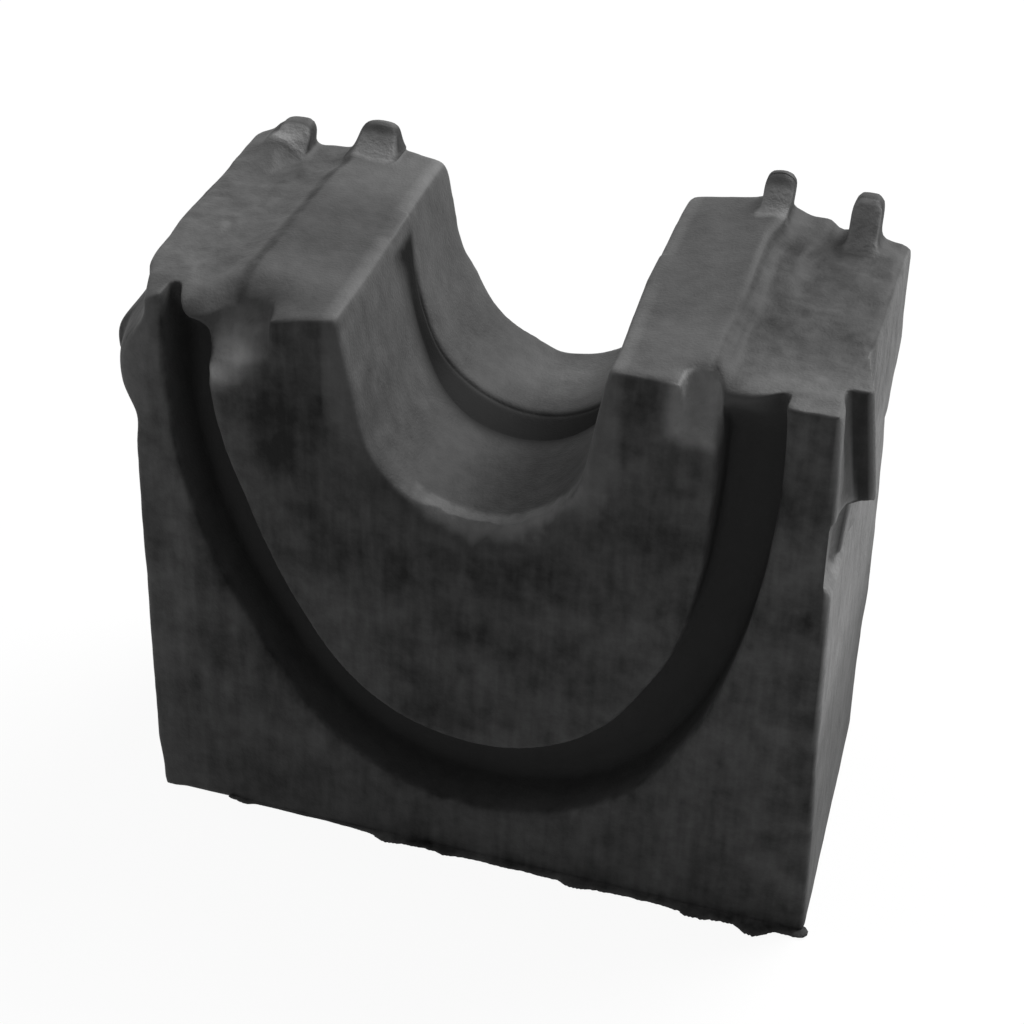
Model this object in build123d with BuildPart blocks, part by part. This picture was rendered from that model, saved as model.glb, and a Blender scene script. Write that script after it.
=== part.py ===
# Half of a split sway bar bushing: one rubber moulding that carries the bar in a saddle.
# The frame has its origin at the middle of the flat foot, +Z up, the bar's axis along Y
# and the open face that is looked at towards -Y. All sizes are in millimetres.

from build123d import *
from math import acos, atan2, cos, hypot, sin, sqrt
import os

# The block, which widens towards its foot
FOOT_WIDTH = 80.0
TOP_WIDTH = 76.0
DEPTH = 39.0
HEIGHT = 70.5
CORNER_ROUND = 0.7

# The saddle for the bar: a round seat with sides that lean out to the mouth
BAR_RADIUS = 12.5
SEAT_DEPTH = 10.2
MOUTH_LEAN = 2.1
MOUTH_ROUND = 0.8

# The ring groove round the middle of the saddle
RING_WIDTH = 5.5
RING_DEPTH = 2.8
RING_FROM_FRONT = 21.6

# The lands on the top, measured from the edge of the mouth
LAND_RISE = 1.0
LAND_SET_BACK = 2.2
OUTER_DROP = 0.5

# The U-shaped groove in the front face, the walls that it leaves, and the webs over its ends
SIDE_WALL = 4.0
FOOT_WALL = 7.7
GROOVE_SIDE_WIDTH = 6.4
GROOVE_FOOT_WIDTH = 9.7
GROOVE_CENTRE_DEPTH = 8.6
GROOVE_DEPTH = 8.0
GROOVE_RIM_BEVEL = 0.4
GROOVE_FLOOR_BEVEL = 1.0
WEB_HEIGHT = 8.0
WEB_SET_BACK = 3.4

# The upright nibs along the back edge, which key into the other half
NIB_INSET = 4.3
NIB_SPACING = 10.0
NIB_WIDTH = 3.8
NIB_LENGTH = 5.0
NIB_ROUND = 1.1
INNER_NIB_RISE = 4.3
OUTER_NIB_RISE = 3.2

# The sloping notches at the front, where the other half's inner nibs go
NOTCH_CLEARANCE = 0.4
NOTCH_LENGTH = 3.0
NOTCH_BACK_DEPTH = 2.2
NOTCH_FRONT_DEPTH = 6.8

# The shoulder along the top of each side, and the barb at its front end
SHOULDER_HEIGHT = 21.0
SHOULDER_SWELL = 1.2
SHOULDER_ROUND = 1.0
BARB_FROM_FRONT = 5.5
BARB_LENGTH = 8.4
BARB_SWELL = 3.2
BARB_HEIGHT = 13.0
BARB_ROUND = 0.8
BARB_ROOT = 0.6

# Heights and places that follow from the sizes above
MOUTH_X = BAR_RADIUS + MOUTH_LEAN
SEAT_Z = HEIGHT - SEAT_DEPTH
GROOVE_Z = HEIGHT - GROOVE_CENTRE_DEPTH
OUTER_WALL_X = TOP_WIDTH / 2 - SIDE_WALL
OUTER_WALL_DEPTH = GROOVE_Z - FOOT_WALL
INNER_WALL_X = OUTER_WALL_X - GROOVE_SIDE_WIDTH
INNER_WALL_DEPTH = OUTER_WALL_DEPTH - GROOVE_FOOT_WIDTH
LAND_X = INNER_WALL_X - LAND_SET_BACK
LAND_Z = HEIGHT + LAND_RISE
OUTER_LAND_Z = HEIGHT - OUTER_DROP
FRONT_Y = -DEPTH / 2
BACK_Y = DEPTH / 2
RING_Y = FRONT_Y + RING_FROM_FRONT
OUTER_NIB_X = TOP_WIDTH / 2 - NIB_INSET
INNER_NIB_X = OUTER_NIB_X - NIB_SPACING
NOTCH_X = INNER_NIB_X - NIB_WIDTH / 2 - NOTCH_CLEARANCE
NOTCH_WIDTH = INNER_WALL_X + GROOVE_SIDE_WIDTH / 2 - NOTCH_X
BARB_Y = FRONT_Y + BARB_FROM_FRONT
SIDES = (-1, 1)
CLEAR = 12.0
ROOT = 2.0
WEB_ROOT = 1.4
NEAR = 0.01


def side_x(z):
    """Half width of the block at height z."""
    return FOOT_WIDTH / 2 - (FOOT_WIDTH - TOP_WIDTH) / 2 * z / OUTER_LAND_Z


def oval_radii(half_width, depth):
    """Radii of the three-centred half oval this wide and deep: its long sides and its end."""
    reach = hypot(half_width, depth)
    spare = depth - half_width
    return (reach + spare) / 2 * reach / half_width, (reach - spare) / 2 * reach / depth


def wall_x(half_width, depth, z):
    """Half width of one wall of the U-shaped groove at height z, on its long side arc."""
    side_radius = oval_radii(half_width, depth)[0]
    return half_width - side_radius + sqrt(side_radius**2 - (z - GROOVE_Z) ** 2)


def wall_outline(half_width, depth):
    """Face inside one wall of the groove: a half oval that is carried on past the top."""
    side_radius, end_radius = oval_radii(half_width, depth)
    turn = atan2(depth - end_radius, side_radius - half_width)
    joint = (half_width - side_radius + side_radius * cos(turn), GROOVE_Z - side_radius * sin(turn))
    top_z = LAND_Z + CLEAR
    top = (wall_x(half_width, depth, top_z), top_z)
    with BuildSketch() as outline:
        with BuildLine():
            ThreePointArc(top, (half_width, GROOVE_Z), joint)
            ThreePointArc(joint, (0, GROOVE_Z - depth), (-joint[0], joint[1]))
            ThreePointArc((-joint[0], joint[1]), (-half_width, GROOVE_Z), (-top[0], top[1]))
            Line((-top[0], top[1]), top)
        make_face()
    return outline.sketch


def saddle_section():
    """Section of the saddle: the round seat and the sides that lean out from it past the top."""
    turn = atan2(SEAT_DEPTH, MOUTH_X) - acos(BAR_RADIUS / hypot(MOUTH_X, SEAT_DEPTH))
    low = (BAR_RADIUS * cos(turn), SEAT_Z + BAR_RADIUS * sin(turn))
    run = SEAT_DEPTH + CLEAR - BAR_RADIUS * sin(turn)
    high = (low[0] - run * sin(turn) / cos(turn), low[1] + run)
    with BuildSketch() as section:
        with BuildLine():
            Polyline((-low[0], low[1]), (-high[0], high[1]), high, low)
            ThreePointArc(low, (0, SEAT_Z - BAR_RADIUS), (-low[0], low[1]))
        make_face()
    return section.sketch


def along_y(edges, x, z):
    """The edges that run along Y at this distance from the middle and this height."""
    return edges.filter_by(Axis.Y).filter_by(
        lambda edge: abs(abs(edge.center().X) - x) < NEAR and abs(edge.center().Z - z) < NEAR
    )


with BuildPart() as bushing:
    # Block with its lands: the front view, pushed through the depth
    with BuildSketch(Plane.XZ):
        with BuildLine():
            Polyline(
                (0, 0),
                (FOOT_WIDTH / 2, 0),
                (TOP_WIDTH / 2, OUTER_LAND_Z),
                (LAND_X, OUTER_LAND_Z),
                (LAND_X, LAND_Z),
                (MOUTH_X, HEIGHT),
                (0, HEIGHT),
                (0, 0),
            )
        make_face()
        mirror(about=Plane.YZ)
    extrude(amount=DEPTH / 2, both=True)

    # Saddle, right through, with a rounded mouth
    with BuildSketch(Plane.XZ):
        add(saddle_section())
    extrude(amount=DEPTH, both=True, mode=Mode.SUBTRACT)
    fillet(along_y(bushing.edges(), MOUTH_X, HEIGHT), radius=MOUTH_ROUND)

    # Rounded ends of the saddle and upright corners of the block, front and back
    for face_y in (FRONT_Y, BACK_Y):
        ends = bushing.edges().filter_by_position(Axis.Y, face_y - NEAR, face_y + NEAR)
        fillet(ends.filter_by(GeomType.CIRCLE).sort_by(Axis.Z)[0], radius=CORNER_ROUND)
        corners = ends.filter_by(lambda edge: abs(edge.center().X) > LAND_X)
        fillet(corners.filter_by(lambda edge: edge.length > HEIGHT / 2), radius=CORNER_ROUND)

    # U-shaped groove in the front face, with a bevelled floor and rims
    with BuildSketch(Plane.XZ.offset(-FRONT_Y)):
        add(wall_outline(OUTER_WALL_X, OUTER_WALL_DEPTH))
        add(wall_outline(INNER_WALL_X, INNER_WALL_DEPTH), mode=Mode.SUBTRACT)
    extrude(amount=-GROOVE_DEPTH, mode=Mode.SUBTRACT)
    for edge_y, bevel in ((FRONT_Y + GROOVE_DEPTH, GROOVE_FLOOR_BEVEL), (FRONT_Y, GROOVE_RIM_BEVEL)):
        arcs = bushing.edges().filter_by(GeomType.CIRCLE)
        walls = arcs.filter_by(lambda edge: edge.radius > BAR_RADIUS + 2 * CORNER_ROUND)
        chamfer(walls.filter_by_position(Axis.Y, edge_y - NEAR, edge_y + NEAR), length=bevel)

    # Sloping webs that close the ends of the groove under the outer lands
    with BuildSketch(Plane.YZ):
        Polygon(
            (FRONT_Y + WEB_SET_BACK, OUTER_LAND_Z),
            (FRONT_Y + GROOVE_DEPTH, OUTER_LAND_Z - WEB_HEIGHT),
            (FRONT_Y + GROOVE_DEPTH + ROOT, OUTER_LAND_Z - WEB_HEIGHT),
            (FRONT_Y + GROOVE_DEPTH + ROOT, OUTER_LAND_Z),
            align=None,
        )
    web = extrude(amount=GROOVE_SIDE_WIDTH / 2 + WEB_ROOT, both=True, mode=Mode.PRIVATE)
    for side in SIDES:
        add(web.moved(Location((side * (INNER_WALL_X + OUTER_WALL_X) / 2, 0, 0))))

    # Ring groove round the middle of the saddle: a disc's edge, which runs out below the mouth
    with BuildSketch(Plane.XZ.offset(-RING_Y)):
        with Locations((0, SEAT_Z)):
            Circle(BAR_RADIUS + RING_DEPTH)
    extrude(amount=RING_WIDTH / 2, both=True, mode=Mode.SUBTRACT)

    # Nibs along the back edge: one on each of the four lands
    for nib_x, rise in ((INNER_NIB_X, INNER_NIB_RISE), (OUTER_NIB_X, OUTER_NIB_RISE)):
        root_z = OUTER_LAND_Z - ROOT
        tall = HEIGHT + rise - root_z
        with BuildSketch(Plane.XZ.offset(-BACK_Y)):
            with Locations(*[(side * nib_x, root_z + tall / 2) for side in SIDES]):
                Rectangle(NIB_WIDTH, tall)
            fillet(vertices().group_by(Axis.Y)[-1], radius=NIB_ROUND)
        extrude(amount=NIB_LENGTH)

    # Sloping notches at the front, on the inner wall of the groove
    with BuildSketch(Plane.YZ):
        Polygon(
            (FRONT_Y, LAND_Z - NOTCH_FRONT_DEPTH),
            (FRONT_Y + NOTCH_LENGTH, LAND_Z - NOTCH_BACK_DEPTH),
            (FRONT_Y + NOTCH_LENGTH, LAND_Z + CLEAR),
            (FRONT_Y - CLEAR, LAND_Z + CLEAR),
            (FRONT_Y - CLEAR, LAND_Z - NOTCH_FRONT_DEPTH),
            align=None,
        )
    notch = extrude(amount=NOTCH_WIDTH / 2, both=True, mode=Mode.PRIVATE)
    for side in SIDES:
        add(notch.moved(Location((side * (NOTCH_X + NOTCH_WIDTH / 2), 0, 0))), mode=Mode.SUBTRACT)

    # Shoulder along each side, from behind the front corner to the back, with a rounded top
    shoulder_low = OUTER_LAND_Z - SHOULDER_HEIGHT
    with BuildSketch(Plane.XZ.offset(-BARB_Y)):
        with BuildLine():
            Polyline(
                (TOP_WIDTH / 2 - ROOT, OUTER_LAND_Z),
                (TOP_WIDTH / 2 - ROOT, shoulder_low),
                (side_x(shoulder_low), shoulder_low),
                (side_x(shoulder_low) + SHOULDER_SWELL, shoulder_low + SHOULDER_SWELL),
                (TOP_WIDTH / 2 + SHOULDER_SWELL, OUTER_LAND_Z),
                (TOP_WIDTH / 2 - ROOT, OUTER_LAND_Z),
            )
        make_face()
        fillet(vertices().group_by(Axis.Y)[-1].sort_by(Axis.X)[-1], radius=SHOULDER_ROUND)
        mirror(about=Plane.YZ)
    extrude(amount=BARB_Y - BACK_Y)

    # Barb at the shoulder's front end: a wedge in plan, square to the front, with a rounded tip
    with BuildSketch(Plane.XY.offset(OUTER_LAND_Z - BARB_HEIGHT)):
        with BuildLine():
            Polyline(
                (OUTER_WALL_X + BARB_ROOT, BARB_Y),
                (TOP_WIDTH / 2 + BARB_SWELL, BARB_Y),
                (TOP_WIDTH / 2 + SHOULDER_SWELL, BARB_Y + BARB_LENGTH),
                (OUTER_WALL_X + BARB_ROOT, BARB_Y + BARB_LENGTH),
                (OUTER_WALL_X + BARB_ROOT, BARB_Y),
            )
        make_face()
        fillet(vertices().sort_by(Axis.X)[-1], radius=BARB_ROUND)
        mirror(about=Plane.YZ)
    extrude(amount=BARB_HEIGHT)

    # Rounded back ends of the shoulders
    back_edges = bushing.edges().filter_by_position(Axis.Y, BACK_Y - NEAR, BACK_Y + NEAR)
    shoulder_ends = back_edges.filter_by(
        lambda edge: abs(edge.center().X) > side_x(edge.center().Z) + SHOULDER_SWELL / 2
    )
    fillet(shoulder_ends.filter_by(lambda edge: edge.length > SHOULDER_HEIGHT / 2), radius=CORNER_ROUND)

bushing.part.label = "bushing"
os.makedirs("parts", exist_ok=True)
export_step(bushing.part, "parts/bushing.step")
print("volume", round(bushing.part.volume, 1), "mm3")
print("box", bushing.part.bounding_box().size)
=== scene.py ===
# %% [markdown]
# # A split sway bar bushing
# This is one half of a rubber bushing that holds a car's sway bar to its axle. It is a single
# moulding: a tall block with a round saddle in its top, a U-shaped groove round the saddle in its
# front face, and four small nibs along the back edge that key into the other half. The true shape
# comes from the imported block. This lesson gives that block the skin of moulded rubber: soft edges,
# uneven faces, torn flash, dusty lands and a dull sheen.

import bmesh
import bpy
import math
import numpy as np
from mathutils import Matrix, Vector, noise


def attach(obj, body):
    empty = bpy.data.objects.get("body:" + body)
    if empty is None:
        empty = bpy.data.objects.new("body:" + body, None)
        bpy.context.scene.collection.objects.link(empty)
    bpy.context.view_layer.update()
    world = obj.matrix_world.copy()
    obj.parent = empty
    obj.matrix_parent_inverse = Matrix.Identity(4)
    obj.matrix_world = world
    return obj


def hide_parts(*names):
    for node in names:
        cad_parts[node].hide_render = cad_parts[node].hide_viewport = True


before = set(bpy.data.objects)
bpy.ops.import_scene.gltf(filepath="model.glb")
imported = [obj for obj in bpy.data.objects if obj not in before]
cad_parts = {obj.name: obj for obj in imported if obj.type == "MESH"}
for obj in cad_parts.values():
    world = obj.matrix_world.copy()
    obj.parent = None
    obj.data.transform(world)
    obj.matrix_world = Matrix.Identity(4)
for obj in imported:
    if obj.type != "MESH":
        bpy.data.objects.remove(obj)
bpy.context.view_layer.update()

# %% [markdown]
# ## The sizes of the block
# The masks below need to know where the lands, the groove and the saddle are. Their sizes are named
# once, in millimetres, and every later step reads them from here. X points to the right, Y to the
# back and Z up, and the foot's middle is at zero. A pair of groove sizes is an oval's half width and
# its depth below the groove's centre height.

# %% Name the sizes
MM = 0.001
DEPTH = 39.0
HEIGHT = 70.5
FRONT = -DEPTH / 2
BACK = DEPTH / 2
LAND_X = 25.4
SEAT_RADIUS = 12.5
SEAT_Z = 60.3
SIDES_Z = 58.0
GROOVE_Z = 61.9
GROOVE_INNER = (27.6, 44.5)
GROOVE_OUTER = (34.0, 54.2)
GROOVE_DEPTH = 8.0
SLEEVE = (24.6, 31.5)
RING_Y = 2.1
RING_HALF = 2.75
NOTCH = (21.4, 26.0)
print("saddle seat", 2 * SEAT_RADIUS, "mm across, centre at height", SEAT_Z)

# %% [markdown]
# ## A skin from the block's own mesh
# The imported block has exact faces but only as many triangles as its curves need, so nothing on it
# can bend. Clay would be the pattern maker's answer: fill the mould, then work the surface. A voxel
# remesh does that here. It rebuilds a merged copy of the mesh as an even net of small quads, and a
# few rounds of smoothing take the knife edge off every corner, as a rubber mould does.

# %% Remesh a merged copy
VOXEL = 0.46 * MM
MERGE = 0.002 * MM
SMOOTH_ROUNDS = 3


def merged_copy(node, name):
    """A new object with the node's mesh, its loose triangles joined."""
    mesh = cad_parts[node].data.copy()
    mesh.name = name
    mesh.materials.clear()
    work = bmesh.new()
    work.from_mesh(mesh)
    bmesh.ops.remove_doubles(work, verts=work.verts, dist=MERGE)
    work.to_mesh(mesh)
    work.free()
    piece = bpy.data.objects.new(name, mesh)
    bpy.context.scene.collection.objects.link(piece)
    return piece


def bake_modifiers(piece):
    """Replaces the piece's mesh by what its modifiers make, and removes them."""
    graph = bpy.context.evaluated_depsgraph_get()
    made = bpy.data.meshes.new_from_object(piece.evaluated_get(graph))
    piece.modifiers.clear()
    piece.data = made
    return piece


skin = merged_copy("bushing", "rubber_block")
remesh = skin.modifiers.new("even_net", "REMESH")
remesh.mode = "VOXEL"
remesh.voxel_size = VOXEL
soften = skin.modifiers.new("soft_corners", "SMOOTH")
soften.factor = 0.5
soften.iterations = SMOOTH_ROUNDS
bake_modifiers(skin)
print("net of", len(skin.data.vertices), "points and", len(skin.data.polygons), "faces")

# %% [markdown]
# ## Fields for sculpting
# A surface is sculpted by moving each point by some amount. The amounts come from smooth random
# fields, one value per point, and from masks that say where on the block a point is. A mask is 1
# inside its region and falls to 0 over a short way, so nothing ends in a hard line. Masks multiply:
# `rise(z, 50, 55) * fall(y, 0, 4)` is 1 only high up and at the front.

# %% Make the mask helpers
def rise(value, low, high):
    """0 below low, 1 above high, and a smooth rise between them."""
    t = np.clip((value - low) / (high - low), 0, 1)
    return t * t * (3 - 2 * t)


def fall(value, low, high):
    """1 below low, 0 above high, and a smooth fall between them."""
    return 1 - rise(value, low, high)


def band(value, low, high, edge):
    """1 between low and high, and 0 further than edge outside them."""
    return rise(value, low - edge, low) * fall(value, high, high + edge)


def field(spots, grain, seed, octaves=3):
    """A smooth random value from about -1 to 1 at each spot; grain is its size in millimetres."""
    shift = Vector((17.3 * seed, 5.1 * seed, 9.7 * seed))
    values = [noise.fractal(Vector(p) / grain + shift, 1.0, 2.0, octaves) for p in spots]
    return np.array(values)


def past_oval(x, z, sizes):
    """How far a place lies outside a half oval of three arcs with this half width and depth."""
    half_width, depth = sizes
    reach = math.hypot(half_width, depth)
    side = (reach + depth - half_width) / 2 * reach / half_width
    end = (reach - depth + half_width) / 2 * reach / depth
    centre_x, centre_z = half_width - side, GROOVE_Z - depth + end
    below = (np.abs(x) * (GROOVE_Z - centre_z) - centre_x * (z - centre_z)) < 0
    from_side = np.hypot(np.abs(x) - centre_x, z - GROOVE_Z) - side
    from_end = np.hypot(x, z - centre_z) - end
    return np.where(below, from_end, from_side)


print("halfway up a rise:", float(rise(0.5, 0, 1)))

# %% [markdown]
# ## Reading the points
# NumPy works on all points at once, so their places and normals are read into two arrays. `start`
# keeps every point where the mould left it. The masks read `start`, and the steps that follow move
# `places`, so no step shifts the ground under the next one.

# %% Read the points
def read_points(mesh):
    """Places in millimetres and normals of all points, as two arrays."""
    spots = np.zeros(len(mesh.vertices) * 3)
    directions = np.zeros(len(mesh.vertices) * 3)
    mesh.vertices.foreach_get("co", spots)
    mesh.vertices.foreach_get("normal", directions)
    return spots.reshape(-1, 3) / MM, directions.reshape(-1, 3)


places, normals = read_points(skin.data)
start = places.copy()
x, y, z = start.T.copy()
wide = np.abs(x)  # how far from the middle
sunk = y - FRONT  # how far behind the front face
from_ring = y - RING_Y  # how far behind the ring groove's middle
facing_front = -normals[:, 1]
facing_right = normals[:, 0]
print("points span", places.min(0).round(2), places.max(0).round(2))


def moved():
    """How far the point that has moved most is from its start, in millimetres."""
    return round(float(np.abs(places - start).max()), 2)


# %% [markdown]
# ## Where everything is
# Each mask below is one region that looks different on the real piece: the rough outer lands, the
# smooth inner lands, the front face, the U-shaped groove, the saddle with its ring groove, the
# sloping face of the right notch, and the side walls.

# %% Mask the lands, the front and the sides
LAND_EDGE = (66.5, 68.5)
facing_up = rise(normals[:, 2], 0.5, 0.9)
outer_land = facing_up * rise(z, *LAND_EDGE) * rise(wide, LAND_X - 0.2, LAND_X + 0.5)
inner_land = facing_up * rise(z, 69.0, 70.0) * fall(wide, LAND_X - 0.6, LAND_X)
front_face = rise(-y, -FRONT - 1.0, -FRONT - 0.3) * rise(facing_front, 0.5, 0.9)
side_wall = rise(wide, 37.2, 37.8) * fall(np.abs(normals[:, 2]), 0.4, 0.8)
notch_face = band(x, *NOTCH, 2.5) * fall(sunk, 3.0, 3.5) * rise(z, 62.6, 65.8)
notch_face = notch_face * fall(normals[:, 2], 0.8, 0.95)
for title, mask in (("outer land", outer_land), ("front", front_face), ("side", side_wall)):
    print(title, int((mask > 0.5).sum()), "points")

# %% Mask the grooves and the saddle
past_inner = past_oval(x, z, GROOVE_INNER)
past_outer = past_oval(x, z, GROOVE_OUTER)
between_walls = rise(past_inner, -0.5, 0.3) * fall(past_outer, -0.3, 0.5)
above_floor = fall(sunk, GROOVE_DEPTH + 0.4, GROOVE_DEPTH + 1.2)
groove_inside = between_walls * rise(sunk, 0.3, 1.6) * above_floor
groove_inside *= 1 - facing_up * rise(z, *LAND_EDGE)
seat_reach = np.hypot(x, np.minimum(z - SEAT_Z, 0))
saddle = fall(wide, 15.6, 16.6) * fall(seat_reach, 15.6, 16.4) * rise(z, 40, 44)
past_side = 0.98 * (wide - 12.3) - 0.18 * (z - SIDES_Z)
past_seat = np.where(z < SIDES_Z, seat_reach - SEAT_RADIUS, past_side)
ring_groove = saddle * fall(np.abs(from_ring), RING_HALF, RING_HALF + 0.5)
ring_groove = ring_groove * rise(past_seat, 0.2, 1.2)
for title, mask in (("groove", groove_inside), ("saddle", saddle), ("ring", ring_groove)):
    print(title, int((mask > 0.5).sum()), "points")

# %% [markdown]
# ## Pressed out of true
# The piece has been clamped for years and no longer has the mould's straight lines. The groove's arms
# lean to the left near the top, and the foot has shifted a little to the right at the front. A
# profile is a row of pairs, a place across the block and the millimetres that points there move.

# %% Slide the arms and the foot
SLIDE = (
    (-38, 0), (-34, -0.4), (-28, -2.3), (-25.4, -0.9), (-21.4, -0.9), (-15, 0),
    (15, -0.3), (21.4, 0.5), (25.4, -0.9), (27.6, -1.7), (34, -1.4), (38, 0),
)
FOOT_SHIFT = 1.35


def across(profile):
    """An amount that changes evenly from one X of the profile to the next."""
    return np.interp(x, *zip(*profile))


slide = across(SLIDE)
slide -= 0.8 * band(x, 12, 19, 3) * rise(y, -16, 0)
slide -= 0.8 * rise(-x, 6, 12) * fall(-x, 16, 24) * rise(y, -15, 15) * rise(z, 54, 63)
slide *= rise(z, 20, 55) * (1 - rise(y, 10, 14) * rise(wide, 16, 20))
shift = FOOT_SHIFT * (1 - z / HEIGHT) * (BACK - y) / DEPTH
shift = shift + 0.35 * band(z, 22, 42, 7) * rise(y, 0, BACK) * rise(x, 30, 36)
shift -= 0.4 * band(z, 8, 52, 6) * rise(-x, 30, 36)
places[:, 0] += slide + shift
print("moved by up to", moved(), "mm")

# %% [markdown]
# The left inner land droops at its front corner, the right one has swollen at the back, and the step
# between the lands is half filled. The seat's back left rim has crept inwards.

# %% Press the lands and the seat
DROOP = ((-29, 4.2), (-25, 3.4), (-22, 2.2), (-18, 0.9), (-15, 0), (15, 0), (24, 0.8))
LIFT = ((-25, 0.3), (-15, 0), (13, 0), (15, 0.6), (24, 1.6), (25.4, 1.2))
SEAT_CREEP = 0.7
STEP_FILL = 1.1

droop = across(DROOP) * fall(sunk, 0.5, 6.5)
lift = across(LIFT) * rise(y, -5, BACK)
places[:, 2] += (lift - droop) * rise(z, 58, 69) * fall(wide, 29.5, 31)
places[:, 2] -= 0.4 * rise(x, 34.8, 37.6) * rise(y, 14, 18) * rise(z, 66, 69)
inward = saddle * SEAT_CREEP * rise(y, 8, BACK) * rise(-x, 0, 5) * fall(z, 56, 60)
places[:, 0] -= inward * x / SEAT_RADIUS
places[:, 2] -= inward * np.minimum(z - SEAT_Z, 0) / SEAT_RADIUS
step_fill = STEP_FILL * fall(wide, LAND_X + 0.2, LAND_X + 2.6)
step_fill = step_fill * rise(wide, LAND_X - 0.5, LAND_X + 0.1)
places[:, 2] += step_fill * fall(z, 70.2, 71.4) * rise(z, 67, 69.5) * (0.5 + 0.5 * rise(-y, -4, 12))
print("moved by up to", moved(), "mm")

# %% [markdown]
# Each nib has worn to a height and width of its own, and its front slopes back. The left outer land
# rises in a ramp to the foot of its nib.

# %% Wear the nibs
NIBS = (
    # place across, stretch above the land, spread at the foot, shift to the right
    (-33.7, 0.80, 0.1, 0.4),
    (-23.7, 0.86, 0.45, 0.5),
    (23.7, 0.93, -0.15, 0.1),
    (33.7, 1.6, -0.12, 0.0),
)
NIB_SLOPE = 0.8
RAMP = ((-40.4, 0.2), (-38.0, 0.7), (-35.6, 1.7), (-33.5, 1.9), (-32.6, 0))

for nib_x, stretch, spread, aside in NIBS:
    near = fall(np.abs(x - nib_x), 2.2, 3.0) * rise(y, 13.5, 14.3)
    above = np.maximum(z - 71.2, 0)
    widening = near * (x - nib_x) * spread * (1 - 0.5 * rise(z, 71.0, 74.5))
    places[:, 2] += near * above * (stretch - 1)
    places[:, 0] += widening * rise(z, 69, 70)
    places[:, 0] += near * aside * rise(z, 70.4, 71.4)
    places[:, 1] += near * NIB_SLOPE * np.clip(z - 70.4, 0, 4) * fall(y, 14.5, 19.0)

ramp = across(RAMP) * rise(y, 8.5, 15.5)
places[:, 2] += ramp * rise(z, 66, 69.5) * fall(z, 70.6, 72.4)
print("moved by up to", moved(), "mm")

# %% [markdown]
# At the groove's upper ends both webs have come forward over it, and the left notch has nearly
# closed. The ring groove runs further back on the saddle's sides, and dirt fills most of its depth.

# %% Close the ends of the groove and fill the ring
WEB_FORWARD = 0.5
WEB_FORWARD_RIGHT = 1.8
WEB_FORWARD_LEFT = 3.2
NOTCH_CLOSED = 0.85
RING_FILL = 0.72

web = between_walls * rise(z, 63, 69.6) * band(sunk, 2.6, GROOVE_DEPTH + 0.5, 0.6)
right_web = WEB_FORWARD_RIGHT * rise(x, 20, 27) * fall(x, 30.5, 33.5)
left_web = WEB_FORWARD_LEFT * band(-x, 26, 30.6, 1.2)
places[:, 1] -= web * (WEB_FORWARD + right_web + left_web)
closed = band(-x, 20.4, 24.6, 1.6) * rise(z, 58, 61) * fall(z, 68, 70) * fall(sunk, 4.5, 6)
places[:, 1] -= NOTCH_CLOSED * closed * sunk

beside = saddle * rise(z, 47, 56) * fall(z, 65.5, 69)
places[:, 1] += beside * (1.2 - 0.9 * from_ring) * np.exp(-((from_ring / 3.6) ** 2))
filled = saddle * RING_FILL * np.clip(past_seat, 0, 3) * fall(np.abs(from_ring), 2.6, 3.4)
places[:, 0] -= filled * x / SEAT_RADIUS
places[:, 2] -= filled * np.minimum(z - SEAT_Z, 0) / SEAT_RADIUS
print("moved by up to", moved(), "mm")

# %% [markdown]
# The left front corner bulges out and hides its barb, and its top is worn round. `ROOM` says how far
# the worn corner still reaches past 34 mm at each depth; what lies beyond is pressed in.

# %% Swell the left front corner
CORNER_X = 34
ROOM = ((-19.5, 1.9), (-18, 2.3), (-14.5, 3.5), (-11.7, 4.1), (-6, 4.9), (0, 8))
PRESSED_IN = 0.88

corner = rise(-x, 33.5, 37.5)
places[:, 0] -= corner * 1.9 * rise(z, 53, 58) * fall(z, 60.5, 66.5) * rise(-y, 9, 13)
places[:, 0] -= corner * 1.0 * rise(-y, 13.5, 14.5) * fall(-y, 15.5, 19.5) * band(z, 58, 67, 3)
room = np.interp(y, *zip(*ROOM)) + 5.5 * fall(z, 59.5, 67.8)
beyond = np.maximum(-places[:, 0] - CORNER_X - room, 0)
places[:, 0] += PRESSED_IN * beyond * (x < -CORNER_X)
places[:, 2] -= corner * 1.0 * rise(z, 66, 70) * rise(-y, 15, 19.5)
print("moved by up to", moved(), "mm")

# %% [markdown]
# The right barb leans out at its lower end, and the shoulder below it is worn away.

# %% Lean the right barb
BARB_LEAN = ((50, 0.0), (57, 0.5), (69.5, -0.9))
SHOULDER_WEAR = 1.15

right_barb = rise(x, 37.2, 38.4) * band(y, -14.5, -7, 3)
barb_front = right_barb * rise(facing_front, 0.4, 0.8) * rise(z, 56, 58)
places[:, 0] += right_barb * np.interp(z, *zip(*BARB_LEAN))
thinned = (0.35 + 0.4 * fall(z, 50, 58)) * rise(x, 37.5, 38.4)
places[:, 0] -= thinned * rise(y, -8, -3) * rise(z, 46.5, 49.5)
worn_end = rise(x, 37.8, 38.6) * fall(y, -13, -3) * fall(z, 56.4, 57.2) * rise(z, 48.0, 50.0)
places[:, 0] -= SHOULDER_WEAR * worn_end
print("moved by up to", moved(), "mm")

# %% [markdown]
# ## Working the surface
# Rubber that has been pressed, torn from its mould and clamped is never flat. The whole skin gets a
# slow swell, the outer lands a coarse crumple and the side walls a shallow wave. `places * [1, 1, 0.6]`
# stretches a field upwards.

# %% Swell the skin
SWELL = 0.10
FINE_SWELL = 0.035
CRUMPLE = 0.26
SIDE_WAVE = 0.15

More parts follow.
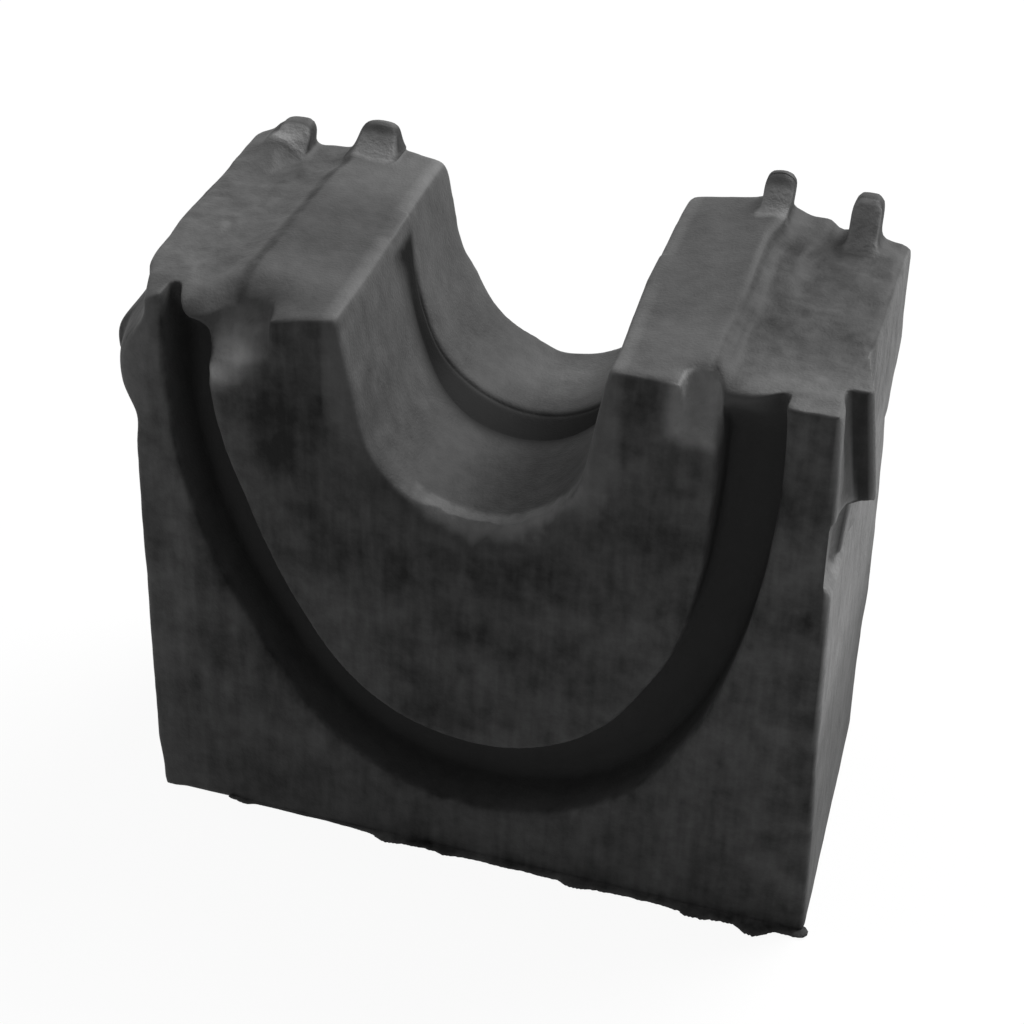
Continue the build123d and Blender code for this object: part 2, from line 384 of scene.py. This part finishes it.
swell = SWELL * field(places, 14.0, 1) + FINE_SWELL * field(places, 3.5, 2)
crumple = outer_land * (CRUMPLE * field(places, 3.2, 3, 4) - 0.05)
side_wave = side_wall * rise(z, 40, 50) * SIDE_WAVE * field(places * [1, 1, 0.6], 6.0, 5)
rag = field(places * [1, 0.2, 1], 1.9, 4, 2)
swollen = swell + crumple + side_wave
places += normals * swollen[:, None]
print("largest swell", round(float(np.abs(swollen).max()), 2), "mm")

# %% [markdown]
# The front rim of the saddle is torn: a ragged bevel, widest at the bottom, has broken away from the
# front face. Points within 0.25 mm of the foot keep a fifth of their height, so that the block still
# stands flat.

# %% Tear the rim and set the foot down
TEAR_DEPTH = 0.7
FOOT_RECESS = 0.25
FOOT_SKIN = 0.25
FOOT_KEPT = 0.2

rim_width = 0.3 + 1.9 * band(x, -4.5, 5.5, 5) + 0.9 * band(x, 7, 12, 2)
rim_width = rim_width + (0.1 + 1.1 * band(x, -6, 9, 4)) * rag
rim_width = np.maximum(rim_width, 0) * fall(z, 56, 62)
at_rim = fall(sunk, 3.0, 4.0) * rise(z, 42, 44) * fall(wide, 14, 16)
at_rim = at_rim * (seat_reach > SEAT_RADIUS - 0.6)
torn = np.maximum(SEAT_RADIUS + rim_width - seat_reach, 0) * at_rim
places[:, 1] = np.maximum(places[:, 1], FRONT + TEAR_DEPTH * torn)
places[:, 1] += FOOT_RECESS * band(x, -37, -30.5, 1.5) * fall(z, 0.5, 5) * fall(sunk, 0, 3)
flat_foot = z < FOOT_SKIN
places[flat_foot, 2] = z[flat_foot] * FOOT_KEPT
places[:, 2] = np.maximum(places[:, 2], 0)
print("torn rim", int((torn > 0).sum()), "points, foot", int(flat_foot.sum()), "points")

# %% [markdown]
# ## What the finish needs to know
# The rubber is one material, but dust, polish, painted light and painted shade differ from place to
# place. Three values are stored on the points, where the material can read them. The first is the pale
# bloom of dust on the lands and the saddle, with painted light on the right side, the notches, the torn
# rim and a few painted highlights; below zero it is painted shade in the ring groove, beside the right
# crease, on the barb and the sleeve. Polish marks the smooth inner lands and the seat, and the third
# value paints shade in the grooves.

# %% Dust the lands and the saddle, and paint highlights on the torn rim, the right notch and a few spots
LEFT_DUST, RIGHT_DUST = 0.16, 0.23
OUTER_DUST = ((-38, 0.50), (-30, 0.44), (26, 0.12), (30, 0.08), (38, 0.12))
INNER_DUST = ((-26, LEFT_DUST), (-14, LEFT_DUST), (14, RIGHT_DUST), (24, RIGHT_DUST))


def mark(place, radius):
    """A soft round spot on the surface near this place."""
    return np.exp(-((start - place) ** 2).sum(1) / radius**2)


# Pale spots: the two small ones are painted highlights, the broad faint one lies at the back of the
# left outer land.
pale = mark((-32.9, -3.8, 70), 1.0) + mark((-12.4, -3.3, 54.6), 0.9)
pale = pale + 0.4 * mark((-34, 12, 70), 3.0)
outer_dust = across(OUTER_DUST) + 0.5 * rise(x, 28, 31) * rise(-y, 8, 15)
inner_dust = across(INNER_DUST) + 0.42 * rise(y, 0, 14) * (x < 0) + 0.2 * rise(-y, 4, 14)
seat_dust = 0.10 + 0.26 * rise(z, 50, 56) + 0.8 * mark((4.0, 12.0, 48.5), 6.0)
# A painted highlight on the torn bevel of the rim, fading from its edge, and a small one on the front
# beside it.
rim_highlight = 0.9 * rise(torn, 0.0, 2.4) + 0.5 * front_face * mark((11.9, FRONT, 54.6), 2.0)
nib_dust = 1.6 * rise(z, 69.8, 70.6) * (1 - 0.8 * rise(z, 73.0, 74.2))
nib_dust = nib_dust * rise(y, 13.0, 14.0) * band(wide, 20, 37, 1) * rise(facing_front, 0, 0.5)
dust_and_painted_light = outer_dust * outer_land + inner_dust * inner_land
# The seat is dusted, and the sloping face of the right notch gets painted light.
dust_and_painted_light = dust_and_painted_light + seat_dust * saddle * (1 - ring_groove) + 1.1 * notch_face
dust_and_painted_light = np.maximum(np.maximum(dust_and_painted_light, rim_highlight), nib_dust) + 0.4 * pale
print("dust on the lands and the saddle from", dust_and_painted_light.min().round(2), "to", dust_and_painted_light.max().round(2))

# %% Paint light on the right side and the left notch, and make the left front corner paler
# Painted sheen on the right side, brighter from the foot upwards, with a painted lit patch near the
# front below the barb.
side_sheen = 0.15 + 0.65 * rise(z, 13, 34) + 0.35 * band(z, 34, 54, 8)
side_sheen = side_sheen + 0.2 * band(sunk, 1, 7, 1) * band(z, 48, 57, 2)
dust_and_painted_light += side_wall * rise(facing_right, 0.3, 0.7) * side_sheen
# Painted light on two spots in the left notch.
painted_notch_light = mark((-27.5, FRONT, 63.0), 2.6) + mark((-25.3, FRONT + 1, 66.8), 2.4)
dust_and_painted_light += 2.0 * painted_notch_light * rise(facing_front, 0.0, 0.6) * (1 - groove_inside)
dust_and_painted_light += front_face * (0.3 * mark((-37, FRONT, 61), 6.0) + 0.15 * rise(-x, 30, 34))
print("dust with the side and the left corner up to", dust_and_painted_light.max().round(2))

# %% Paint shade in the ring groove, beside the right crease, on the barb and on the sleeve
# Painted shade along the step between the right lands.
crease_shade = mark((27.5, -3.7, 70), 1.9) + 0.7 * mark((27.4, 12.7, 70), 2.6)
crease_shade = crease_shade + 0.5 * mark((31.9, 15.5, 70), 2.0)
# Painted shade in the ring groove, which takes the first value below zero there.
ring_shade = saddle * fall(-from_ring, 2.2, 5.4) * fall(from_ring, 1.8, 3.6) * fall(z, 68, 69.5)
# Painted shade on the inner part of the sleeve round the saddle, stronger higher up and weaker on the
# right.
sleeve_shade = front_face * fall(past_oval(x, z, SLEEVE), -1.2, 1.2) * (1 - 0.5 * rise(x, 2, 14))
dust_and_painted_light = dust_and_painted_light * (1 - ring_shade) - (0.19 + 0.06 * rise(z, 49, 54)) * ring_shade
# Painted shade beside the right crease and on the front of the right barb.
dust_and_painted_light = dust_and_painted_light - 0.2 * crease_shade - 0.08 * barb_front
dust_and_painted_light -= sleeve_shade * (0.03 + 0.12 * rise(z, 30, 42)) * fall(rim_highlight, 0, 0.3)
# Painted shade inside the U-shaped groove and the ring groove, and on the barb's front.
painted_shade = np.maximum(groove_inside, np.maximum(0.95 * ring_shade, 0.5 * barb_front))
polish = np.maximum(inner_land, 0.4 * outer_land + 0.7 * saddle)
print("darkest place", dust_and_painted_light.min().round(2))

# %% Store the values and write the points back
def store_value(mesh, title, values):
    """Adds one number per point to the mesh, for a material to read by its title."""
    layer = mesh.attributes.new(title, "FLOAT", "POINT")
    layer.data.foreach_set("value", values.astype(np.float32))


store_value(skin.data, "dust_and_painted_light", np.clip(dust_and_painted_light, -0.3, 2.4))
store_value(skin.data, "polish", polish)
store_value(skin.data, "painted_shade", np.clip(painted_shade, 0, 1))
skin.data.vertices.foreach_set("co", (places * MM).astype(np.float32).ravel())
skin.data.update()
skin.data.shade_smooth()
print("values on the points:", [a.name for a in skin.data.attributes if a.data_type == "FLOAT"])

# %% [markdown]
# ## Wear
# Edges that are touched or pressed lose their sharpness. A Smooth modifier does that where a vertex
# group tells it to: the group holds a weight from 0 to 1 for each point, in ten steps. After it, a
# Decimate modifier merges faces where the skin is nearly flat and keeps them where it bends.

# %% Wear the edges and thin the net
WEAR_ROUNDS = 40
WEAR_LEVELS = 10
MOST_FACES = 94000

crease = band(wide, LAND_X - 0.8, LAND_X + 1.2, 0.8) * rise(z, 68, 69.5)
crease = crease * (1 - rise(y, 12, 14) * (x > 0))
worn_places = (
    0.8 * crease,
    np.where(x < 0, 0.45, 0.14) * rise(z, 69.0, 70.0) * rise(y, 12.5, 13.5),
    0.4 * (band(z, 69.4, 71.0, 0.8) * band(y, 12.5, 15.5, 1) * band(wide, 20, 37, 1)),
    0.4 * (band(wide, 19.5, 31.5, 1) * rise(z, 60, 62) * fall(sunk, 7, 9)),
    rise(-x, 33, 35) * rise(-y, 3, 7) * rise(z, 50, 54),
    0.2 * rise(torn, 0, 0.4),
    0.6 * (saddle * fall(np.abs(from_ring), 3.4, 4.6) * fall(z, 67, 69)),
)
worn = np.maximum.reduce(worn_places)
group = skin.vertex_groups.new(name="worn")
for level in range(1, WEAR_LEVELS + 1):
    chosen = np.nonzero(np.round(worn * WEAR_LEVELS) == level)[0]
    group.add(chosen.tolist(), level / WEAR_LEVELS, "REPLACE")
wear = skin.modifiers.new("wear", "SMOOTH")
wear.vertex_group = group.name
wear.factor = 0.5
wear.iterations = WEAR_ROUNDS
thin = skin.modifiers.new("fewer_flat_faces", "DECIMATE")
thin.ratio = min(1.0, MOST_FACES / len(skin.data.polygons))
bake_modifiers(skin)
skin.data.calc_loop_triangles()
print("skin has", len(skin.data.loop_triangles), "triangles")

# %% [markdown]
# ## Flash along the foot
# Where the mould's halves met, the rubber crept out in a thin fringe. It follows the foot's front
# edge and has a few longer tongues. A line of points carries how far the fringe sticks out at each
# place, and Geometry Nodes puts one flattened bead on every point. Its seed is fixed, so the fringe
# comes out the same each time.

# %% Lay the line of points
FLASH_STEP = 0.45
FLASH_HEIGHT = 0.27
EDGE = (
    # place across, how far the fringe sticks out
    (-29.0, 0.25), (-26.0, 0.15), (-14.0, 0.3), (-9.0, 0.95),
    (12.0, 1.05), (24.0, 1.1), (28.0, 1.4), (41.0, 1.0),
)
TONGUES = (
    # place across, how much further it sticks out, width to the left and to the right
    (-27.9, 0.4, 0.3, 0.8), (-9.4, 0.55, 1.0, 2.0), (-2.1, 0.35, 0.6, 2.4),
    (13.4, 0.65, 0.5, 2.6), (27.6, 0.45, 0.4, 4.0), (35.8, 1.5, 1.6, 1.2),
)

flash_x = np.arange(EDGE[0][0], EDGE[-1][0], FLASH_STEP)
flash_line = np.stack([flash_x, 0 * flash_x, 0 * flash_x], 1)
flash_reach = np.interp(flash_x, *zip(*EDGE)) + 0.12 * field(flash_line, 3.0, 8)
for tongue_x, tongue_reach, left_width, right_width in TONGUES:
    away = flash_x - tongue_x
    width = np.where(away < 0, left_width, right_width)
    flash_reach += tongue_reach * np.exp(-((away / width) ** 2))
flash_mesh = bpy.data.meshes.new("foot_flash")
line = [(v * MM, (FRONT + 0.1) * MM, FLASH_HEIGHT * MM) for v in flash_x]
flash_mesh.from_pydata(line, [], [])
store_value(flash_mesh, "reach", flash_reach * MM)
flash = bpy.data.objects.new("foot_flash", flash_mesh)
bpy.context.scene.collection.objects.link(flash)
print(len(flash_x), "beads, the longest", round(float(flash_reach.max()), 2), "mm")

# %% [markdown]
# ## Node trees that read as sums
# A pattern is arithmetic on noises and masks. Joined by hand, ten Math nodes hide what they add up
# to. The class below wraps one socket, so that `1 - mask` or `a * b + c` in Python adds those nodes
# itself, and one method adds any other kind of node. It serves shader and geometry trees alike.

# %% Wrap a socket
class Flow:
    """One output socket of a node tree, with arithmetic."""

    def __init__(self, tree, socket=None):
        self.tree = tree
        self.socket = socket

    def node(self, kind, settings=None, inputs=None, output=0):
        """Adds a node: its settings first, then the values or links of its sockets."""
        made = self.tree.nodes.new(kind)
        for title, setting in (settings or {}).items():
            setattr(made, title, setting)
        for title, value in (inputs or {}).items():
            if isinstance(value, Flow):
                self.tree.links.new(value.socket, made.inputs[title])
            else:
                made.inputs[title].default_value = value
        count = len(self.tree.nodes)
        made.location = (200 * (count % 12), -260 * (count // 12))
        return Flow(self.tree, made.outputs[output]) if made.outputs else None

    def maths(self, operation, *values):
        return self.node("ShaderNodeMath", {"operation": operation}, dict(enumerate(values)))

    def __add__(self, other):
        return self.maths("ADD", self, other)

    def __sub__(self, other):
        return self.maths("SUBTRACT", self, other)

    def __rsub__(self, other):
        return self.maths("SUBTRACT", other, self)

    def __mul__(self, other):
        return self.maths("MULTIPLY", self, other)

    __radd__ = __add__
    __rmul__ = __mul__

    def clip(self):
        """The same value, held between 0 and 1."""
        return self.maths("MINIMUM", self.maths("MAXIMUM", self, 0), 1)


print("a socket now adds, subtracts, multiplies and clips")

# %% [markdown]
# ## Patterns in the rubber
# Carbon black makes the rubber nearly as dark as coal. What the eye reads as its surface is the rest:
# a fine grain from the mould, slow blotches where the bloom of wax has come out, faint upright
# streaks, and a few pale specks. Every pattern reads Object coordinates, so it stays on the block.

# %% Make the pattern helpers
BLOOM_SIZE = 9.0
MOTTLE_SIZE = 2.6
GRAIN_SIZE = 0.35
STREAK_SIZE = 1.3
STREAK_STRETCH = (1.0, 1.0, 0.15)
SPECK_SPACING = 3.1


def stored(base, name):
    """A value that is stored on the points."""
    return base.node("ShaderNodeAttribute", {"attribute_name": name}, output="Fac")


def blotches(spot, size, detail=3.0, roughness=0.55):
    """Soft noise from 0 to 1, with blotches of this size in millimetres."""
    values = {"Vector": spot, "Scale": 1 / (size * MM), "Detail": detail, "Roughness": roughness}
    return spot.node("ShaderNodeTexNoise", {"noise_dimensions": "3D"}, values, "Fac")


def upright_streaks(spot):
    """Noise that is drawn out along Z."""
    scale = {0: spot, 1: STREAK_STRETCH}
    upright = spot.node("ShaderNodeVectorMath", {"operation": "MULTIPLY"}, scale)
    values = {"Vector": upright, "Scale": 1 / (STREAK_SIZE * MM), "Detail": 2.0}
    return spot.node("ShaderNodeTexNoise", {}, values, "Fac")


def pale_specks(spot):
    """Small pale dots, in patches."""
    values = {"Vector": spot, "Scale": 1 / (SPECK_SPACING * MM)}
    specks = spot.node("ShaderNodeTexVoronoi", {"feature": "F1"}, values, "Distance")
    return (1 - specks * 9.0).clip() * (blotches(spot, 5.0) * 4 - 2.2).clip()


def grey(shade):
    """The colour with this value as its red, green and blue."""
    return shade.node("ShaderNodeCombineColor", {}, {"Red": shade, "Green": shade, "Blue": shade})


print("bloom", BLOOM_SIZE, "mm, mottle", MOTTLE_SIZE, "mm, grain", GRAIN_SIZE, "mm")

# %% [markdown]
# ## Moulded black rubber
# The material mixes two shaders by the stored painted shade: clean rubber with a dull gloss that grows
# at a glancing angle, and a darker matt tone with no gloss that paints the shade. Dust and painted
# light make both of them paler, and the rubber bumpier; below zero they paint them darker.

# %% Mix the rubber
CLEAN_SHADE = 0.028
DUST_AND_LIGHT_TONE = 0.078
SHADED_TONE = 0.050
SHADE_COVER = 0.85
BLOOM_TONE = 0.075
MOTTLE_TONE = 0.065
STREAK_TONE = 0.04
SPECK_TONE = 0.03
ROUGHNESS = 0.68
GLOSS = 0.22
REFRACTION = 1.42
BUMP_STRENGTH = 0.55
BUMP_DISTANCE = 0.28 * MM


def rubber(title):
    """The material of the block, with its patterns in millimetres."""
    material = bpy.data.materials.new(title)
    material.use_nodes = True
    tree = material.node_tree
    tree.nodes.clear()
    base = Flow(tree)
    spot = base.node("ShaderNodeTexCoord", output="Object")
    dust_and_painted_light, polish, painted_shade = stored(base, "dust_and_painted_light"), stored(base, "polish"), stored(base, "painted_shade")
    bloom = blotches(spot, BLOOM_SIZE)
    mottle = blotches(spot, MOTTLE_SIZE, 4.0, 0.6)
    grain = blotches(spot, GRAIN_SIZE, 2.0)
    streaks = upright_streaks(spot)

    uneven = BLOOM_TONE * (bloom - 0.5) + MOTTLE_TONE * (mottle - 0.5)
    uneven = uneven + STREAK_TONE * (streaks - 0.5)
    shade = CLEAN_SHADE + uneven * (1 - 0.5 * polish)
    shade = shade + dust_and_painted_light * (DUST_AND_LIGHT_TONE + 0.03 * (mottle - 0.5))
    shade = shade + SPECK_TONE * pale_specks(spot) * (0.3 + dust_and_painted_light)
    shade = (shade * (1 - 0.4 * painted_shade)).clip()

    height = grain * 0.35 + mottle * (0.5 + 1.6 * dust_and_painted_light) * (1 - 0.7 * polish) + bloom * 0.8
    values = {"Strength": BUMP_STRENGTH, "Distance": BUMP_DISTANCE, "Height": height}
    bump = base.node("ShaderNodeBump", {}, values, "Normal")
    dullness = ROUGHNESS + 0.16 * (mottle - 0.5) - 0.06 * polish
    dullness = dullness + 0.12 * painted_shade + 0.08 * (bloom - 0.5)
    values = {"Base Color": grey(shade), "Roughness": dullness.clip(), "Normal": bump}
    values.update({"IOR": REFRACTION, "Specular IOR Level": GLOSS})
    surface = base.node("ShaderNodeBsdfPrincipled", {}, values, "BSDF")

    # The matt tone for painted shade, darker still where the first value is below zero (painted shade).
    shaded_tone = grey((SHADED_TONE + 0.15 * dust_and_painted_light).clip())
    values = {"Base Color": shaded_tone, "Roughness": 1.0, "Normal": bump}
    values["Specular IOR Level"] = 0.0
    shaded_rubber = base.node("ShaderNodeBsdfPrincipled", {}, values, "BSDF")
    parts = {"Fac": painted_shade * SHADE_COVER, 1: surface, 2: shaded_rubber}
    coated = base.node("ShaderNodeMixShader", {}, parts)
    base.node("ShaderNodeOutputMaterial", {}, {"Surface": coated})
    return material


black_rubber = rubber("moulded_black_rubber")
skin.data.materials.clear()
skin.data.materials.append(black_rubber)
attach(skin, "root")
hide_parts("bushing")
print(black_rubber.name, "has", len(black_rubber.node_tree.nodes), "nodes")

# %% [markdown]
# ## Beads on the line
# The tree puts a small sphere on each point and flattens it: its length along the edge and its
# thickness are plain inputs, and how far it sticks out is the point's own reach times a random share.

# %% Build the bead tree
FLOAT, INTEGER = "NodeSocketFloat", "NodeSocketInt"
BEAD_INPUTS = (
    ("Geometry", "NodeSocketGeometry"),
    ("Bead length", FLOAT),
    ("Thickness", FLOAT),
    ("Seed", INTEGER),
    ("Material", "NodeSocketMaterial"),
)


def flash_tree():
    """Geometry Nodes that turn points with a reach into a fringe of flat beads."""
    tree = bpy.data.node_groups.new("flash_along_edge", "GeometryNodeTree")
    for title, kind in BEAD_INPUTS:
        tree.interface.new_socket(title, in_out="INPUT", socket_type=kind)
    tree.interface.new_socket("Geometry", in_out="OUTPUT", socket_type="NodeSocketGeometry")
    given = tree.nodes.new("NodeGroupInput")
    sockets = [Flow(tree, given.outputs[i]) for i in range(len(BEAD_INPUTS))]
    points, length, thickness, seed, material = sockets
    make = points.node
    values = {"Name": "reach"}
    reach = make("GeometryNodeInputNamedAttribute", {"data_type": "FLOAT"}, values, "Attribute")
    share = make("FunctionNodeRandomValue", {"data_type": "FLOAT"}, {"Seed": seed}, 1)
    values = {"X": length, "Y": reach * (0.94 + 0.12 * share), "Z": thickness}
    size = make("ShaderNodeCombineXYZ", {}, values)
    bead = make("GeometryNodeMeshIcoSphere", {}, {"Radius": 1.0, "Subdivisions": 2}, "Mesh")
    values = {"Points": points, "Instance": bead, "Scale": size}
    placed = make("GeometryNodeInstanceOnPoints", {}, values)
    real = make("GeometryNodeRealizeInstances", {}, {"Geometry": placed})
    smooth = make("GeometryNodeSetShadeSmooth", {}, {"Geometry": real})
    coated = make("GeometryNodeSetMaterial", {}, {"Geometry": smooth, "Material": material})
    tree.links.new(coated.socket, tree.nodes.new("NodeGroupOutput").inputs[0])
    return tree


bead_tree = flash_tree()
print(bead_tree.name, "has", len(bead_tree.nodes), "nodes")

# %% Grow the flash
BEAD_LENGTH = 1.1
BEAD_THICKNESS = 0.26
FLASH_SEED = 5

grow = flash.modifiers.new("flash", "NODES")
grow.node_group = bead_tree
items = bead_tree.interface.items_tree
keys = {item.name: item.identifier for item in items if item.in_out == "INPUT"}
grow[keys["Bead length"]] = BEAD_LENGTH * MM
grow[keys["Thickness"]] = BEAD_THICKNESS * MM
grow[keys["Seed"]] = FLASH_SEED
grow[keys["Material"]] = black_rubber
bake_modifiers(flash)
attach(flash, "root")
print("flash has", len(flash.data.polygons), "faces")

# %% [markdown]
# ## Floor, light and camera
# The block stands on a plain pale floor. A broad soft lamp above and behind its right shoulder lights
# the lands and the side, and leaves the front in its own shade. The floor and the world look white to
# the camera and in reflections, and give only their plain share of light.

# %% Lay the floor
HALF_FLOOR = 1.5
FLOOR_COLOUR = (0.8, 0.8, 0.8, 1)
WHITE = (1, 1, 1, 1)
FLOOR_WHITENESS = 0.93


def seen_directly(tree):
    """1 for a ray from the camera or a mirror, 0 for a ray that only gathers light."""
    kinds = ("Is Camera Ray", "Is Glossy Ray", "Is Transmission Ray")
    rays = [Flow(tree).node("ShaderNodeLightPath", output=kind) for kind in kinds]
    camera_ray, glossy_ray, glass_ray = rays
    return (camera_ray + glossy_ray + glass_ray).clip()


def pale_stage(title, share):
    """A matt pale material; this share of what the camera sees of it is plain white."""
    material = bpy.data.materials.new(title)
    material.use_nodes = True
    tree = material.node_tree
    tree.nodes.clear()
    base = Flow(tree)
    matt = base.node("ShaderNodeBsdfDiffuse", {}, {"Color": FLOOR_COLOUR})
    white = base.node("ShaderNodeEmission", {}, {"Color": WHITE, "Strength": 1.0})
    parts = {"Fac": share * seen_directly(tree), 1: matt, 2: white}
    mixed = base.node("ShaderNodeMixShader", {}, parts)
    base.node("ShaderNodeOutputMaterial", {}, {"Surface": mixed})
    return material


corners = [(HALF_FLOOR * i, HALF_FLOOR * j, 0) for i, j in ((-1, -1), (1, -1), (1, 1), (-1, 1))]
floor_mesh = bpy.data.meshes.new("floor")
floor_mesh.from_pydata(corners, [], [(0, 1, 2, 3)])
floor = bpy.data.objects.new("floor", floor_mesh)
bpy.context.scene.collection.objects.link(floor)
floor_mesh.materials.append(pale_stage("pale_floor", FLOOR_WHITENESS))
print("floor", 2 * HALF_FLOOR, "m across")

# %% Light it
LAMP_AIM = Vector((0, 0, 0.04))
LAMP_SIZE = 0.6
SKY_LIGHT = 0.35


def soft_lamp(title, place, watts):
    """A square area lamp that looks at the middle of the block."""
    data = bpy.data.lights.new(title, "AREA")
    data.shape = "SQUARE"
    data.size = LAMP_SIZE
    data.energy = watts
    lamp = bpy.data.objects.new(title, data)
    lamp.location = place
    lamp.rotation_euler = (LAMP_AIM - Vector(place)).to_track_quat("-Z", "Y").to_euler()
    bpy.context.scene.collection.objects.link(lamp)
    return lamp


soft_lamp("key_lamp", place=(0.40, 0.55, 0.70), watts=14.0)
soft_lamp("left_lamp", place=(-0.7, 0.0, 0.5), watts=2.0)
world = bpy.data.worlds.new("pale_world")
bpy.context.scene.world = world
world.use_nodes = True
world.node_tree.nodes.clear()
sky = Flow(world.node_tree)
strength = SKY_LIGHT + (1 - SKY_LIGHT) * seen_directly(world.node_tree)
air = sky.node("ShaderNodeBackground", {}, {"Color": WHITE, "Strength": strength})
sky.node("ShaderNodeOutputWorld", {}, {"Surface": air})

# %% Set the camera
CAMERA_PLACE = Vector((0.05703, -0.20029, 0.18504))
CAMERA_AIM = Vector((-0.00066, -0.00026, 0.03691))
CAMERA_ROLL = math.radians(1.806)
CAMERA_LENS = 77.15

camera_data = bpy.data.cameras.new("camera")
camera_data.lens = CAMERA_LENS
camera = bpy.data.objects.new("camera", camera_data)
camera.location = CAMERA_PLACE
turn = (CAMERA_AIM - CAMERA_PLACE).to_track_quat("-Z", "Y").to_matrix()
camera.rotation_euler = (turn @ Matrix.Rotation(CAMERA_ROLL, 3, "Z")).to_euler()
bpy.context.scene.collection.objects.link(camera)
bpy.context.scene.camera = camera
bpy.context.scene.view_settings.view_transform = "Standard"
print("camera at", [round(v, 3) for v in camera.location], "lens", camera_data.lens)
